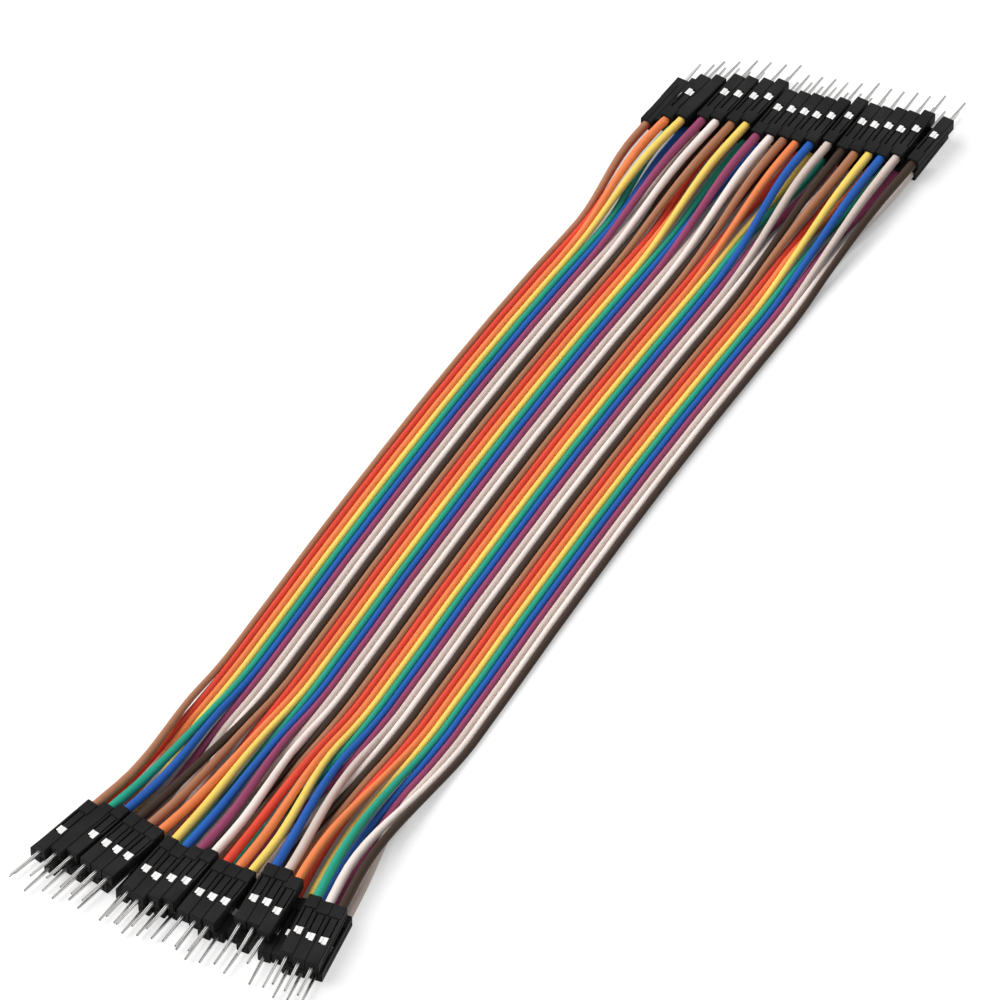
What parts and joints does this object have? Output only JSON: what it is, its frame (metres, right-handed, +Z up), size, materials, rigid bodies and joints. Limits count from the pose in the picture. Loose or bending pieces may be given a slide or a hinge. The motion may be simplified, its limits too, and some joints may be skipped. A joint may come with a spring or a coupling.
{
  "type": "breadboard jumper wire ribbon",
  "caption": "Flat ribbon of bonded jumper wires in a repeating colour order, each ending in a black single-pole housing with a square male pin.",
  "frame": {"origin": "under the middle of all the connectors, at the height of their lowest faces", "axes": "+Z up, +Y along the ribbon from the end with the level row to the end with the skewed row, +X to the right"},
  "size_m": [0.0598, 0.2602, 0.0054],
  "materials": {
    "black_housing": "satin moulded",
    "brown_insulation": "satin extruded sleeve",
    "red_insulation": "satin extruded sleeve",
    "orange_insulation": "satin extruded sleeve",
    "yellow_insulation": "satin extruded sleeve",
    "green_insulation": "satin extruded sleeve",
    "blue_insulation": "satin extruded sleeve",
    "purple_insulation": "satin extruded sleeve",
    "grey_insulation": "satin extruded sleeve",
    "white_insulation": "satin extruded sleeve",
    "black_insulation": "satin extruded sleeve"
  },
  "bodies": {
    "root": {"connectors_near_top_1": "black_housing", "connectors_near_top_2": "black_housing", "connectors_near_top_3": "black_housing", "connectors_near_top_4": "black_housing", "connectors_near_top_5": "black_housing", "connectors_near_top_6": "black_housing", "connectors_near_bottom_1": "black_housing", "connectors_near_bottom_2": "black_housing", "connectors_near_bottom_3": "black_housing", "connectors_near_bottom_4": "black_housing", "connectors_near_bottom_5": "black_housing", "connectors_far_top_1": "black_housing", "connectors_far_top_2": "black_housing", "connectors_far_top_3": "black_housing", "connectors_far_top_4": "black_housing", "connectors_far_top_5": "black_housing", "connectors_far_top_6": "black_housing", "connectors_far_top_7": "black_housing", "connectors_far_bottom_1": "black_housing", "connectors_far_bottom_2": "black_housing", "wire_01_brown": "brown_insulation", "wire_02_red": "red_insulation", "wire_03_orange": "orange_insulation", "wire_04_yellow": "yellow_insulation", "wire_05_green": "green_insulation", "wire_06_blue": "blue_insulation", "wire_07_purple": "purple_insulation", "wire_08_grey": "grey_insulation", "wire_09_white": "white_insulation", "wire_10_black": "black_insulation", "wire_11_brown": "brown_insulation", "wire_12_red": "red_insulation", "wire_13_orange": "orange_insulation", "wire_14_yellow": "yellow_insulation", "wire_15_green": "green_insulation", "wire_16_blue": "blue_insulation", "wire_17_purple": "purple_insulation", "wire_18_grey": "grey_insulation", "wire_19_white": "white_insulation", "wire_20_black": "black_insulation", "wire_21_brown": "brown_insulation", "wire_22_red": "red_insulation", "wire_23_orange": "orange_insulation", "wire_24_yellow": "yellow_insulation", "wire_25_green": "green_insulation", "wire_26_blue": "blue_insulation", "wire_27_purple": "purple_insulation", "wire_28_grey": "grey_insulation", "wire_29_white": "white_insulation", "wire_30_black": "black_insulation", "wire_31_brown": "brown_insulation", "wire_32_red": "red_insulation", "wire_33_orange": "orange_insulation", "wire_34_yellow": "yellow_insulation", "wire_35_green": "green_insulation", "wire_36_blue": "blue_insulation", "wire_37_purple": "purple_insulation", "wire_38_grey": "grey_insulation", "wire_39_white": "white_insulation", "wire_40_black": "black_insulation"}
  },
  "joints": []
}
